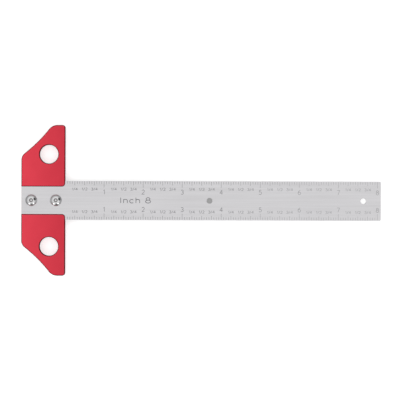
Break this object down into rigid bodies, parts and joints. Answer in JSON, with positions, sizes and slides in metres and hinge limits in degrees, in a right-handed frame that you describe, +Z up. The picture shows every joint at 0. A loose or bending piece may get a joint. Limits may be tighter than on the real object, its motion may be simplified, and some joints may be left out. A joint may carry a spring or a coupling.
{
  "type": "t-square",
  "caption": "Small fixed T-square: a graduated steel blade let into a channel in a red anodised aluminium head and held by button-head screws.",
  "frame": {"origin": "the zero of the scale: on the head's working face, on the blade's centre line, in the plane of the blade's underside", "axes": "+X along the blade away from the head, +Y along the working face, +Z up out of the face of the blade that carries the screws"},
  "size_m": [0.2338, 0.098, 0.0072],
  "materials": {
    "anodised_head": "red anodised, satin",
    "blade_steel": "satin, ground lengthwise",
    "screw_steel": "polished stainless"
  },
  "bodies": {
    "root": {"head": "anodised_head", "blade": "blade_steel", "screw_front": "screw_steel", "screw_rear": "screw_steel"}
  },
  "joints": []
}
